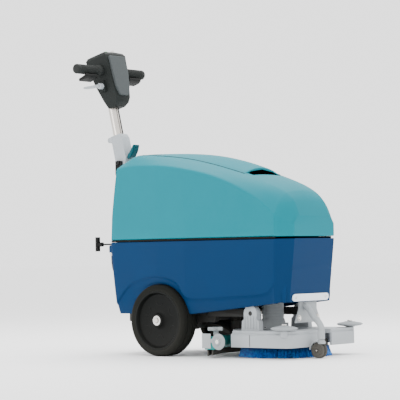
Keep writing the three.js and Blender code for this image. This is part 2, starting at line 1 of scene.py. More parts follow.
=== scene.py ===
"""A walk-behind floor scrubber-dryer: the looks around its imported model.

Lengths in the shape code are millimetres measured from the middle of the rear axle's track on the floor,
x forward, y left, z up. at() turns them into the frame's metres.
"""
import json
import math
import random

import bmesh
import bpy
from mathutils import Matrix, Vector

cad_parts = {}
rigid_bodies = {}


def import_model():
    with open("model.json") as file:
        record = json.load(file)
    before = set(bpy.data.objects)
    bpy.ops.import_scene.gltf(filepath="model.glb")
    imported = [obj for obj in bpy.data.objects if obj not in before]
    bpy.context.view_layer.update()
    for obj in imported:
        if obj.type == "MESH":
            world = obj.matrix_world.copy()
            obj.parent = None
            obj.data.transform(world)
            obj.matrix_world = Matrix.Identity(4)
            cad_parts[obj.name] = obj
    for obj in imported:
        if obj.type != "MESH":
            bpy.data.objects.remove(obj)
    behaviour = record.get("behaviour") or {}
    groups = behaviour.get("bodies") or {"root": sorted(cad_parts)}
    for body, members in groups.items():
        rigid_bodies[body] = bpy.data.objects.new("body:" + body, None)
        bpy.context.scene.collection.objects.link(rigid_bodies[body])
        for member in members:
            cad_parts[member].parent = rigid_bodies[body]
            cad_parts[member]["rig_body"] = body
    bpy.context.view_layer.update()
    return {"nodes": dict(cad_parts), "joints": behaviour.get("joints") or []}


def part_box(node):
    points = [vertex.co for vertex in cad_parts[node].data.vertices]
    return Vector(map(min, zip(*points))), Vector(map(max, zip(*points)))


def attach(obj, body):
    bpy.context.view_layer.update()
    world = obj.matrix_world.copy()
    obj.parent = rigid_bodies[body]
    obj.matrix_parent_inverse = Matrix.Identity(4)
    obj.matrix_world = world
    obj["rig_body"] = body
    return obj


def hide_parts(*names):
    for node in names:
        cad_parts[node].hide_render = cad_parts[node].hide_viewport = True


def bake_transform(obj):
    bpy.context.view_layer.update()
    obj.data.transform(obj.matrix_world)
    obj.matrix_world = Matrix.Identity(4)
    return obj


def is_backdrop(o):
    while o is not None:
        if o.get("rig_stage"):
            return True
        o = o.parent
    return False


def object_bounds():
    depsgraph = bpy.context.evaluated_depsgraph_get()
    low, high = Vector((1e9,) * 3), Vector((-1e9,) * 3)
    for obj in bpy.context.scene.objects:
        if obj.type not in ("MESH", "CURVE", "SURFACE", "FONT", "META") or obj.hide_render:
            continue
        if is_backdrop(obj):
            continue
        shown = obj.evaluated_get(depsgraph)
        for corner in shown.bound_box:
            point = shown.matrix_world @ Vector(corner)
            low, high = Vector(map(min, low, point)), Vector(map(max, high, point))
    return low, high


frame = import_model()

MM = 0.001
JOINTS = {joint["name"]: joint for joint in frame["joints"]}
AXLE = Vector(JOINTS["wheel_right_spin"]["pos_m"])
HANDLE = Vector(JOINTS["handle_tilt"]["pos_m"])
LEAN = math.radians(13.2)  # the handle's lean to the rear
SIDES = (("right", -1), ("left", 1))


def at(x, y, z):
    return Vector((AXLE.x + x * MM, y * MM, z * MM))


def on_handle(u, y, w):
    """A point of the handle: u forward, w up along the tube, both from its tilt axis."""
    return HANDLE + Vector((u * math.cos(LEAN) - w * math.sin(LEAN), y,
                            u * math.sin(LEAN) + w * math.cos(LEAN))) * MM


# Curves -----------------------------------------------------------------------------------------
def along(table, x):
    """Straight-line reading of a table of (x, value) pairs."""
    if x <= table[0][0]:
        return table[0][1]
    for (x0, v0), (x1, v1) in zip(table, table[1:]):
        if x <= x1:
            return v0 + (v1 - v0) * (x - x0) / (x1 - x0)
    return table[-1][1]


def spline(points, steps):
    """A smooth line through points, with steps pieces between each pair."""
    vectors = [Vector(p) for p in points]
    ends = [vectors[0] * 2 - vectors[1]] + vectors + [vectors[-1] * 2 - vectors[-2]]
    line = []
    for a, b, c, d in zip(ends, ends[1:], ends[2:], ends[3:]):
        for i in range(steps):
            t = i / steps
            line.append(0.5 * (2 * b + (c - a) * t + (2 * a - 5 * b + 4 * c - d) * t * t
                               + (3 * b - a - 3 * c + d) * t ** 3))
    return line + [vectors[-1]]


def smooth_table(points):
    return [tuple(p) for p in spline(points, 8)]


def ease(low, high, x):
    t = min(1, max(0, (x - low) / (high - low)))
    return t * t * (3 - 2 * t)


def circle(cx, cy, r, start, end, steps):
    turns = [math.radians(start + (end - start) * i / steps) for i in range(steps + 1)]
    return [(cx + r * math.cos(a), cy + r * math.sin(a)) for a in turns]


def rounded(points, radius, steps=4):
    """A closed outline with its corners rounded."""
    out = []
    for i, p in enumerate(points):
        corner = Vector(p)
        before = Vector(points[i - 1]) - corner
        after = Vector(points[(i + 1) % len(points)]) - corner
        reach = min(radius, before.length / 2.1, after.length / 2.1)
        a = corner + before.normalized() * reach
        b = corner + after.normalized() * reach
        for k in range(steps + 1):
            t = k / steps
            out.append(tuple(a * (1 - t) ** 2 + corner * 2 * t * (1 - t) + b * t * t))
    return out


# Meshes -----------------------------------------------------------------------------------------
def piece(name, verts, faces, body, material, replaces=(), slot=None, bevel=0.0, segments=2, angle=35):
    """A mesh piece made of frame points. It rides on a body, or on none."""
    mesh = bpy.data.meshes.new(name)
    mesh.from_pydata([tuple(v) for v in verts], [], faces)
    obj = bpy.data.objects.new(name, mesh)
    bpy.context.scene.collection.objects.link(obj)
    return dress(obj, body, material, replaces, bevel, segments, angle)


def dress(obj, body, material, replaces=(), bevel=0.0, segments=2, angle=35):
    clean = bmesh.new()
    clean.from_mesh(obj.data)
    bmesh.ops.remove_doubles(clean, verts=clean.verts, dist=2e-6)
    bmesh.ops.recalc_face_normals(clean, faces=clean.faces)
    clean.to_mesh(obj.data)
    clean.free()
    if bevel:
        edge = obj.modifiers.new("edge", "BEVEL")
        edge.width = bevel * MM
        edge.segments = segments
        edge.limit_method = "ANGLE"
        edge.angle_limit = math.radians(angle)
        edge.miter_outer = "MITER_ARC"
        graph = bpy.context.evaluated_depsgraph_get()
        shaped = bpy.data.meshes.new_from_object(obj.evaluated_get(graph))
        obj.modifiers.clear()
        obj.data = shaped
    obj.data.shade_smooth()
    obj.data.set_sharp_from_angle(angle=math.radians(42))
    weighted = obj.modifiers.new("normals", "WEIGHTED_NORMAL")
    weighted.keep_sharp = True
    obj.data.materials.clear()
    obj.data.materials.append(material)
    if body:
        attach(obj, body)
    if replaces:
        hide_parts(*replaces)
    return obj


def softened(node, material, bevel=1.0, segments=2, angle=30, name=None, scale=None):
    """The CAD node's own shape with its edges rounded over."""
    source = frame["nodes"][node]
    mesh = source.data.copy()
    obj = bpy.data.objects.new(name or f"{node}_shape", mesh)
    bpy.context.scene.collection.objects.link(obj)
    shape = bmesh.new()
    shape.from_mesh(mesh)
    bmesh.ops.remove_doubles(shape, verts=shape.verts, dist=2e-5)
    bmesh.ops.dissolve_limit(shape, angle_limit=math.radians(1.0), verts=shape.verts, edges=shape.edges)
    if scale:
        low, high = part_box(node)
        middle = Vector(((low.x + high.x) / 2, 0, low.z))
        bmesh.ops.transform(shape, verts=shape.verts, matrix=Matrix.Translation(middle)
                            @ Matrix.Diagonal((*scale, 1)) @ Matrix.Translation(-middle))
    shape.to_mesh(mesh)
    shape.free()
    body = source["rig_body"]
    return dress(obj, body, material, (node,), bevel, segments, angle)


def ring_faces(count, rings, closed=True, first_cap=True, last_cap=True):
    faces = []
    span = count if closed else count - 1
    for i in range(rings - 1):
        for j in range(span):
            a = i * count + j
            b = i * count + (j + 1) % count
            faces.append((a, b, b + count, a + count))
    if first_cap:
        faces.append(tuple(reversed(range(count))))
    if last_cap:
        faces.append(tuple(range((rings - 1) * count, rings * count)))
    return faces


def loft(name, rings, body, material, closed=True, caps=(True, True), **extra):
    verts = [v for ring in rings for v in ring]
    faces = ring_faces(len(rings[0]), len(rings), closed, *caps)
    return piece(name, verts, faces, body, material, **extra)


def lathe(name, profile, axis, centre, body, material, sides=64, closed=True, place=at, **extra):
    """A closed profile of (radius, height) points turned about the y or z axis through centre."""
    rings = []
    for i in range(sides):
        turn = 2 * math.pi * (i + 0.5) / sides
        ring = []
        for r, h in profile:
            across, up = r * math.cos(turn), r * math.sin(turn)
            x, y, z = (across, h, up) if axis == "y" else (across, up, h)
            ring.append(place(centre[0] + x, centre[1] + y, centre[2] + z))
        rings.append(ring)
    count = len(profile)
    faces = []
    for i in range(sides):
        for j in range(count if closed else count - 1):
            a, b = i * count + j, i * count + (j + 1) % count
            c, d = ((i + 1) % sides) * count + (j + 1) % count, ((i + 1) % sides) * count + j
            faces.append((a, b, c, d))
    return piece(name, [v for ring in rings for v in ring], faces, body, material, **extra)


def prism(name, outline, axis, low, high, body, material, place=at, **extra):
    """A flat outline pushed along one axis: (x, z) along y, (x, y) along z or (y, z) along x."""
    def point(a, b, depth):
        if axis == "y":
            return place(a, depth, b)
        return place(a, b, depth) if axis == "z" else place(depth, a, b)
    rings = [[point(a, b, depth) for a, b in outline] for depth in (low, high)]
    return loft(name, rings, body, material, **extra)


def tube(name, line, radius, body, material, sides=20, **extra):
    """A tube along a line of frame points. radius is millimetres, or a function of the way along, 0 to 1."""
    size = radius if callable(radius) else (lambda t: radius)
    rings = []
    normal = None
    for i, p in enumerate(line):
        ahead = (line[min(i + 1, len(line) - 1)] - line[max(i - 1, 0)]).normalized()
        if normal is None:
            normal = ahead.orthogonal().normalized()
        normal = (normal - ahead * normal.dot(ahead)).normalized()
        other = ahead.cross(normal)
        r = size(i / (len(line) - 1)) * MM
        turns = [2 * math.pi * k / sides for k in range(sides)]
        rings.append([p + (normal * math.cos(a) + other * math.sin(a)) * r for a in turns])
    return loft(name, rings, body, material, **extra)


def evenly(line, step):
    """The line's points again, step metres apart."""
    lengths = [0.0]
    for a, b in zip(line, line[1:]):
        lengths.append(lengths[-1] + (b - a).length)
    count = max(2, round(lengths[-1] / step))
    out = []
    k = 0
    for i in range(count + 1):
        want = lengths[-1] * i / count
        while k < len(lengths) - 2 and lengths[k + 1] < want:
            k += 1
        span = lengths[k + 1] - lengths[k] or 1
        out.append(line[k].lerp(line[k + 1], (want - lengths[k]) / span))
    return out


# Materials --------------------------------------------------------------------------------------
def srgb(r, g, b):
    def linear(v):
        v /= 255
        return v / 12.92 if v <= 0.04045 else ((v + 0.055) / 1.055) ** 2.4
    return (linear(r), linear(g), linear(b), 1)


def shade(colour, factor):
    return tuple(min(1, v * factor) for v in colour[:3]) + (1,)


class Nodes:
    """A small helper for building a material's node tree."""

    def __init__(self, name):
        self.material = bpy.data.materials.new(name)
        self.material.use_nodes = True
        self.tree = self.material.node_tree
        self.shader = self.tree.nodes["Principled BSDF"]

    def add(self, kind, **values):
        node = self.tree.nodes.new(kind)
        for key, value in values.items():
            if hasattr(node, key):
                setattr(node, key, value)
            else:
                node.inputs[key.replace("_", " ")].default_value = value
        return node

    def link(self, source, target):
        self.tree.links.new(source, target)

    def noise(self, coords, scale, detail=4, roughness=0.55):
        node = self.add("ShaderNodeTexNoise", Scale=scale, Detail=detail, Roughness=roughness)
        self.link(coords, node.inputs["Vector"])
        return node.outputs["Fac"]

    def ramp(self, source, stops):
        node = self.add("ShaderNodeValToRGB")
        elements = node.color_ramp.elements
        while len(elements) < len(stops):
            elements.new(0.5)
        for element, (position, colour) in zip(elements, stops):
            element.position = position
            element.color = colour
        self.link(source, node.inputs["Fac"])
        return node.outputs["Color"]

    def mix(self, factor, a, b):
        node = self.add("ShaderNodeMix", data_type="RGBA")
        self.link(factor, node.inputs[0])
        for socket, value in ((node.inputs[6], a), (node.inputs[7], b)):
            if isinstance(value, tuple):
                socket.default_value = value
            else:
                self.link(value, socket)
        return node.outputs[2]

    def stretch(self, source, low, high):
        node = self.add("ShaderNodeMapRange")
        self.link(source, node.inputs["Value"])
        node.inputs["To Min"].default_value = low
        node.inputs["To Max"].default_value = high
        return node.outputs["Result"]

    def bump(self, height, strength, distance):
        node = self.add("ShaderNodeBump", Strength=strength, Distance=distance)
        self.link(height, node.inputs["Height"])
        return node.outputs["Normal"]


def surface(name, colour, rough=0.45, grain=900, grain_depth=0.15, mottle=0.06, wear=0.25, wear_colour=None,
            metallic=0.0, coat=0.0, specular=0.08, dust=0.0):
    """A moulded or painted finish: mottled colour, fine grain, paler worn edges and dust low down."""
    n = Nodes(name)
    coords = n.add("ShaderNodeTexCoord").outputs["Object"]
    broad = n.noise(coords, 9, 3)
    fine = n.noise(coords, grain, 2)
    base = n.ramp(broad, [(0.3, shade(colour, 1 - mottle)), (0.7, shade(colour, 1 + mottle))])
    edges = n.add("ShaderNodeNewGeometry").outputs["Pointiness"]
    worn = n.ramp(edges, [(0.52, (0, 0, 0, 1)), (0.62, (wear, wear, wear, 1))])
    base = n.mix(worn, base, wear_colour or shade(colour, 1.6))
    if dust:
        split = n.add("ShaderNodeSeparateXYZ")
        n.link(coords, split.inputs[0])
        height = n.ramp(split.outputs["Z"], [(0.0, (dust, dust, dust, 1)), (0.2, (0, 0, 0, 1))])
        base = n.mix(height, base, srgb(150, 146, 138))
    n.link(base, n.shader.inputs["Base Color"])
    n.link(n.stretch(broad, rough - 0.05, rough + 0.06), n.shader.inputs["Roughness"])
    n.link(n.bump(fine, grain_depth, 0.0004), n.shader.inputs["Normal"])
    n.shader.inputs["Metallic"].default_value = metallic
    n.shader.inputs["Coat Weight"].default_value = coat
    n.shader.inputs["Specular IOR Level"].default_value = specular
    return n.material


def bristle():
    """Nylon strands, bright at the tip; darker at the root, where shade under the brush block is painted."""
    n = Nodes("brush_nylon")
    coords = n.add("ShaderNodeTexCoord").outputs["Object"]
    split = n.add("ShaderNodeSeparateXYZ")
    n.link(coords, split.inputs[0])
    height = n.stretch(split.outputs["Z"], 0, 1)
    height.node.inputs["From Max"].default_value = 0.04
    tone = n.noise(coords, 160, 3)
    tips = n.ramp(tone, [(0.35, srgb(6, 56, 130)), (0.5, srgb(8, 100, 190)), (0.68, srgb(20, 150, 220))])
    # painted shade: the strands darken towards the root, up under the brush block
    base = n.mix(n.ramp(height, [(0.35, (0, 0, 0, 1)), (0.95, (1, 1, 1, 1))]), tips, srgb(10, 34, 78))
    n.link(base, n.shader.inputs["Base Color"])
    n.link(n.stretch(tone, 0.35, 0.5), n.shader.inputs["Roughness"])
    return n.material


def brushed(name, colour, rough=0.28, scale=(40, 40, 900)):
    """Polished or brushed metal with fine lines along one axis."""
    n = Nodes(name)
    coords = n.add("ShaderNodeTexCoord").outputs["Object"]
    lines = n.add("ShaderNodeMapping", vector_type="POINT")
    lines.inputs["Scale"].default_value = scale
    n.link(coords, lines.inputs["Vector"])
    streak = n.noise(lines.outputs["Vector"], 1.0, 3)
    broad = n.noise(coords, 14, 2)
    tones = [(0.3, shade(colour, 0.88)), (0.7, shade(colour, 1.06))]
    n.link(n.ramp(broad, tones), n.shader.inputs["Base Color"])
    n.link(n.stretch(streak, rough - 0.06, rough + 0.1), n.shader.inputs["Roughness"])
    n.link(n.bump(streak, 0.06, 0.0003), n.shader.inputs["Normal"])
    n.shader.inputs["Metallic"].default_value = 1.0
    return n.material


TEAL = surface("teal_moulding", srgb(0, 110, 122), rough=0.5, grain=1500, grain_depth=0.05, mottle=0.02,
               wear=0.25)
TEAL_DARK = surface("teal_recess", srgb(14, 110, 128), rough=0.5, mottle=0.03)
BLUE = surface("blue_moulding", srgb(0, 42, 78), rough=0.5, grain=1500, grain_depth=0.05, mottle=0.03,
               wear=0.15, dust=0.03)
CAST = surface("painted_casting", srgb(150, 155, 158), rough=0.5, grain=700, grain_depth=0.25, mottle=0.03,
               wear=0.2, dust=0.15)
DECK = surface("deck_paint", srgb(158, 163, 167), rough=0.48, grain=800, grain_depth=0.2, mottle=0.03,
               wear=0.2, dust=0.12)
ROLLER = surface("grey_nylon", srgb(138, 143, 146), rough=0.55, grain=600, grain_depth=0.2, mottle=0.05,
                 wear=0.15, dust=0.1)
WHITE = surface("white_strip", srgb(232, 238, 244), rough=0.35, mottle=0.02, wear=0.1)
BLACK = surface("black_moulding", srgb(16, 17, 17), rough=0.55, mottle=0.12, wear=0.3,
                wear_colour=srgb(90, 90, 88), dust=0.15)
RUBBER = surface("black_rubber", srgb(18, 18, 18), rough=0.75, grain=500, grain_depth=0.4, mottle=0.15,
                 dust=0.25)
TYRE = surface("tyre_rubber", srgb(17, 18, 15), rough=0.78, grain=420, grain_depth=0.5, mottle=0.12,
               wear=0.2, wear_colour=srgb(60, 60, 57), dust=0.03)
RIM = surface("rim_moulding", srgb(6, 8, 7), rough=0.42, mottle=0.1, wear=0.2,
              wear_colour=srgb(60, 62, 60), dust=0.02)
FRAME = surface("black_powder_coat", srgb(16, 17, 18), rough=0.5, grain=1200, grain_depth=0.3, mottle=0.08,
                wear=0.3, wear_colour=srgb(96, 96, 96), dust=0.2)
CHARCOAL = surface("charcoal_moulding", srgb(32, 35, 34), rough=0.55, grain=1100, grain_depth=0.3,
                   mottle=0.05, wear=0.2)
PANEL = surface("grey_panel", srgb(66, 70, 71), rough=0.55, grain=1200, grain_depth=0.25, mottle=0.04)
GRIP = surface("grip_rubber", srgb(40, 42, 41), rough=0.68, grain=900, grain_depth=0.5, mottle=0.06)
AQUA = surface("aqua_moulding", srgb(20, 120, 118), rough=0.3, grain=1200, grain_depth=0.05, mottle=0.06,
               wear=0.3, coat=0.2)
DARK_TEAL = surface("dark_teal_moulding", srgb(16, 72, 80), rough=0.45, mottle=0.05)
BATTERY = surface("battery_case", srgb(40, 42, 48), rough=0.5, mottle=0.08)
GREEN = surface("green_button", srgb(38, 150, 72), rough=0.35, mottle=0.05)
STEEL = brushed("brushed_steel", srgb(205, 199, 192))
CHROME = brushed("bright_zinc", srgb(214, 212, 208), rough=0.2, scale=(300, 300, 300))
NYLON = bristle()


# Tanks ------------------------------------------------------------------------------------------
SEAM_Z = 402
TANK_FLOOR = 409.5
REAR_X = -234
FRONT_X = 529
CORNER = 14  # radius of the tanks' rear corners
HALF_WIDTH = [(-234, 207), (0, 212), (120, 206), (482, 160), (529, 113)]
TOP_LINE = smooth_table([(-234, 713), (-100, 711), (100, 686), (300, 632), (440, 580), (505, 534),
                         (529, 478)])
CREASE_LINE = smooth_table([(-234, 664), (-120, 672), (60, 661), (250, 618), (408, 544), (482, 484),
                            (529, 456)])
LID_HALF = [(-234, 146), (-100, 133), (130, 121), (308, 103), (420, 98), (529, 84)]
LID_CROWN = smooth_table([(-128, 8), (26, 16), (210, 24), (308, 24)])
TANK_CROWN = [(-234, 3), (-128, 8), (308, 5), (480, 8), (529, 1)]
LID_REAR = -128
LID_FRONT = 308
POCKET = {"front": 332, "half": 80, "floor": 607}
REAR_LEAN = [(402, 3), (500, 9), (600, 24), (664, 36)]
ARCH = {"x": -6, "z": 122, "r": 134}
BOTTOM_LINE = [(-200, 147), (124, 147), (341, 170), (427, 180), (503, 187)]
FENDER_LINE = smooth_table([(-234, 182), (-154, 239), (-105, 264), (-8, 281), (79, 260), (133, 204),
                            (302, 209), (428, 217), (470, 240), (500, 270), (529, 300)])


def half_width(x):
    half = along(HALF_WIDTH, x)
    into = max(0.0, REAR_X + CORNER - x) / CORNER
    return half - CORNER * (1 - math.sqrt(max(0.0, 1 - into * into)))


def stations(low, high, step, *extra):
    """x values from the rounded rear corners to the front, with the extra ones among them."""
    turns = [math.radians(18 * i) for i in range(1, 6)]
    xs = [REAR_X] + [REAR_X + CORNER * (1 - math.cos(t)) for t in turns]
    xs += [x for x in range(low, high, step) if all(abs(x - e) > 3 for e in extra)]
    return sorted(set(xs) | set(extra))


def two_sided(name, halves, body, material, skip=lambda i, j: False, caps=(True, True), **extra):
    """A surface from half cross-sections and their mirror. Each ends in the middle or at a rim."""
    count = len(halves[0])
    verts = []
    for half in halves:
        verts += [at(x, -y, z) for x, y, z in half] + [at(x, y, z) for x, y, z in half]
    faces = []
    for i in range(len(halves) - 1):
        for j in range(count - 1):
            if skip(i, j):
                continue
            for shift in (0, count):
                a = i * 2 * count + shift + j
                b = a + 2 * count
                faces.append((a, a + 1, b + 1, b))
    for i, wanted in ((0, caps[0]), (len(halves) - 1, caps[1])):
        base = i * 2 * count
        for j in range(count - 1 if wanted else 0):
            faces.append((base + j, base + j + 1, base + count + j + 1, base + count + j))
    return piece(name, verts, faces, body, material, **extra)


def upper_half(x):
    half, crease, lid = half_width(x), along(CREASE_LINE, x), along(LID_HALF, x) - 1.5
    roll = max(0.0, -150 - x) / 84
    top = crease + (along(TOP_LINE, x) - crease) * math.sqrt(max(0.0, 1 - roll * roll))
    lid = min(lid, half - 20)
    points = [(half - 16, TANK_FLOOR), (half - 3, TANK_FLOOR), (half, TANK_FLOOR + 3)]
    points += [(half, TANK_FLOOR + 3 + (crease - 8 - TANK_FLOOR) * k / 6) for k in range(1, 7)]
    points += [(half - 1.0, crease - 1.5), (half - 4.5, crease + 2.5)]
    for k in range(1, 11):
        t = k / 10
        rise = t + 0.13 * math.sin(math.pi * t)
        points.append((half - 4.5 + (lid - half + 4.5) * t, crease + 2.5 + (top - crease - 2.5) * rise))
    crown = along(TANK_CROWN, x)
    across = [POCKET["half"], 60, 40, 20, 0]
    points += [(min(y, lid - 1), top + crown * (1 - (y / lid) ** 2)) for y in across]
    sweep = max(0.0, -60 - x) / 174
    return [(x + along(REAR_LEAN, z) * sweep, y, z) for y, z in points]


def upper_tank():
    xs = stations(-190, 529, 9, LID_REAR - 1.5, LID_FRONT + 1.5, POCKET["front"], 482, FRONT_X)
    halves = [upper_half(x) for x in xs]
    count = len(halves[0])
    lid_from, lid_to = xs.index(LID_REAR - 1.5), xs.index(LID_FRONT + 1.5)
    pocket_to = xs.index(POCKET["front"])

    def opening(i, j):
        in_lid = lid_from <= i < lid_to and j >= count - 6
        in_pocket = lid_to <= i < pocket_to and j >= count - 5
        return in_lid or in_pocket
    two_sided("tank_skin", halves, "recovery_tank", TEAL, skip=opening, slot="teal", angle=50)
    softened("upper_tank", TEAL, bevel=0, name="tank_liner", scale=(0.985, 0.972, 0.985))
    half, floor = POCKET["half"], POCKET["floor"]
    for name, s in SIDES:
        edge = [at(x, s * (along(LID_HALF, x) - 2.2), along(TOP_LINE, x) + 0.2)
                for x in xs[lid_from:lid_to + 1]]
        tube(f"lid_shadow_{name}", edge, 1.5, "recovery_tank", BLACK, sides=6)
    tray = rounded([(LID_FRONT - 6, -half), (POCKET["front"], -half), (POCKET["front"], half),
                    (LID_FRONT - 6, half)], 10)
    prism("finger_tray", tray, "z", floor - 3, floor, "recovery_tank", TEAL_DARK, bevel=1)
    walls = [[at(x, y, z) for x, y in tray] for z in (floor, along(TOP_LINE, POCKET["front"]) - 2)]
    loft("finger_wall", walls, "recovery_tank", TEAL_DARK, caps=(False, False))
    across = [half * k / 8 for k in range(-8, 9)]
    brow = [along(TOP_LINE, 298) + 24 * (1 - (y / 104) ** 2) - 10 for y in across]
    back = [[at(298, y, floor - 2) for y in across], [at(298, y, z) for y, z in zip(across, brow)]]
    loft("finger_back", back, "recovery_tank", TEAL_DARK, closed=False, caps=(False, False))
    softened("tank_seal", RUBBER, 1.0)


def lid():
    rings = []
    for x in [LID_REAR + 0.5, LID_REAR + 3] + list(range(LID_REAR + 12, LID_FRONT - 6, 10)) + [303, 307.5]:
        half = along(LID_HALF, x) - 3.2
        top, crown = along(TOP_LINE, x), along(LID_CROWN, x)
        drop = 2.2 if x in (LID_REAR + 0.5, 307.5) else 0
        edge = [(half, top - 4), (half - 1, top - 1.2), (half - 4, top)]
        across = [half * k / 8 for k in range(7, -1, -1)]
        upper = edge + [(y, top + crown * (1 - (y / half) ** 2)) for y in across]
        upper = [(y, z - drop) for y, z in upper]
        thin = ease(284, 306, x)
        lower = [(y, top + crown * (1 - (y / half) ** 2) * thin * 0.9 - 14 + 9 * thin)
                 for y in (half, half * 0.6, 0)]
        right = [(-y, z) for y, z in upper]
        left = [(y, z) for y, z in reversed(upper[:-1])]
        under = lower + [(-y, z) for y, z in reversed(lower[:-1])]
        rings.append([at(x, y, z) for y, z in right + left + under])
    loft("lid_skin", rings, "lid", TEAL, replaces=("lid",), slot="teal", angle=50)
    for name, s in SIDES:
        prism(f"lid_hinge_{name}", rounded([(-127, 700), (-112, 702), (-112, 713), (-127, 713)], 3), "y",
              s * 100 - 16, s * 100 + 16, "lid", TEAL_DARK, bevel=1)


def lower_half(x):
    half, fender = half_width(x), along(FENDER_LINE, x)
    bottom = along(BOTTOM_LINE, x)
    if abs(x - ARCH["x"]) < ARCH["r"]:
        bottom = max(bottom, ARCH["z"] + math.sqrt(ARCH["r"] ** 2 - (x - ARCH["x"]) ** 2))
    fender = max(fender, bottom + 8)
    fade = 1 - ease(440, 510, x)
    lean = (7 + 12 * (fender - bottom) / 90) * fade
    step = 6 * fade
    points = [(half - lean - 14, bottom + 1), (half - lean - 2, bottom), (half - lean, bottom + 2)]
    points += [(half - step - (lean - step) * (1 - k / 4), bottom + 2 + (fender - bottom - 8) * k / 4)
               for k in range(1, 5)]
    points += [(half - 1.2, fender - 1.5), (half, fender + 3)]
    points += [(half, fender + 3 + (SEAM_Z - 8 - fender) * k / 6) for k in range(1, 7)]
    points += [(half - 1, SEAM_Z - 1.5), (half - 4, SEAM_Z), (half - 22, SEAM_Z)]
    nose = ease(440, FRONT_X, x)
    tail = 1 - ease(REAR_X, -130, x)
    shaped = []
    for y, z in points:
        back = 26 * (SEAM_Z - z) / 215 * nose
        ahead = (3 + 28 * ((SEAM_Z - z) / 255) ** 1.5) * tail
        shaped.append((x - back + ahead, max(y, 0), z))
    return shaped


def lower_tank():
    arch = [ARCH["x"] - ARCH["r"] * math.cos(math.radians(6 * k)) for k in range(1, 30)]
    outside = [x for x in stations(-190, 529, 9, 482, FRONT_X) if abs(x - ARCH["x"]) > 134]
    xs = sorted(outside + arch)
    two_sided("lower_skin", [lower_half(x) for x in xs], "chassis", BLUE, slot="blue", angle=50)
    softened("lower_tank", BLUE, bevel=0, name="lower_liner", scale=(0.975, 0.94, 0.985))
    seam = [at(x + (6 if x < -200 else 0), -half_width(x) + 1.5, SEAM_Z + 4)
            for x in stations(-190, 482, 12, 482)]
    for name, s in SIDES:
        line = [Vector((p.x, p.y * -s, p.z)) for p in seam]
        tube(f"seam_{name}", line, 3.4, "chassis", RUBBER, sides=8)
        softened(f"battery_{name}", BATTERY, 4)
    softened("suction_motor", BLACK, 2)
    softened("front_strip", WHITE, 1)
    screw = [(0.1, 0), (4.2, 0), (4.4, 0.8), (3.2, 1.9), (0.1, 2.1)]
    for s in (-1, 1):
        spot = (FRONT_X - 26 * (SEAM_Z - 202) / 215 + 4.4, s * 84, 202)
        lathe(f"strip_screw_{s + 1}", screw, "z", (0, 0, 0), "chassis", CHROME, sides=20, closed=False,
              place=lambda a, b, h, spot=spot: at(spot[0] + h, spot[1] + a, spot[2] + b))


# Wheels and running gear ---------------------------------------------------------------------------
def middle(node):
    low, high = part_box(node)
    return (low + high) / 2, (high - low) / 2


def in_frame(x, y, z):
    return Vector((x, y, z)) * MM


def wheels():
    for name, s in SIDES:
        centre, size = middle(f"tyre_{name}")
        c = tuple(v / MM for v in centre)
        half, r = size.y / MM, size.x / MM
        rim = r - 21
        tread = [(rim, -half + 2), (rim + 8, -half), (r - 9, -half + 1), (r - 3, -half + 4), (r, -half + 10)]
        for g in (-half * 0.36, half * 0.36):
            tread += [(r, g - 2), (r - 3, g - 1.4), (r - 3, g + 1.4), (r, g + 2)]
        tread += [(r, half - 10), (r - 3, half - 4), (r - 9, half - 1), (rim + 8, half), (rim, half - 2)]
        lathe(f"tyre_shape_{name}", tread, "y", c, f"wheel_{name}", TYRE, sides=96, place=in_frame,
              replaces=(f"tyre_{name}",), slot="tyre")
        out = s * half
        dish = [(rim - 0.3, out - 5 * s), (rim - 1, out - 2 * s), (rim - 6, out - 2 * s),
                (rim - 9, out - 6 * s), (rim - 13, out - 15 * s), (60, out - 19 * s), (34, out - 18 * s),
                (25, out - 13 * s), (22, out - 5 * s), (18, out - 3.5 * s), (11, out - 4 * s),
                (11, -out + 6 * s), (30, -out + 6 * s), (34, -out + 14 * s), (rim - 8, -out + 14 * s),
                (rim - 0.3, -out + 4 * s)]
        lathe(f"rim_shape_{name}", dish, "y", c, f"wheel_{name}", RIM, sides=72, place=in_frame,
              replaces=(f"rim_{name}",), slot="rim")
        for i in range(6):
            turn = math.radians(60 * i + 30)
            spot = (c[0] + 68 * math.cos(turn), c[1] + out - 18.4 * s, c[2] + 68 * math.sin(turn))
            dent = [(0.1, -1), (13, -1), (15, 0.6), (17, 0.4), (17, -1.2), (0.1, -1.2)]
            dent = [(q, s * h) for q, h in dent]
            lathe(f"rim_dent_{name}_{i}", dent, "y", spot, f"wheel_{name}", RIM, sides=32, closed=False,
                  place=in_frame)
        softened(f"wheel_bolt_{name}", STEEL, 2.0, 3)
        washer = [(9.6, out - 3 * s), (17, out - 3 * s), (17, out - 1.2 * s), (9.6, out - 0.8 * s)]
        lathe(f"wheel_washer_{name}", washer, "y", c, f"wheel_{name}", CHROME, sides=40, place=in_frame)
        softened(f"frame_rail_{name}", FRAME, 1.5)
    softened("rear_axle", STEEL, 1)
    softened("handle_post", FRAME, 3)


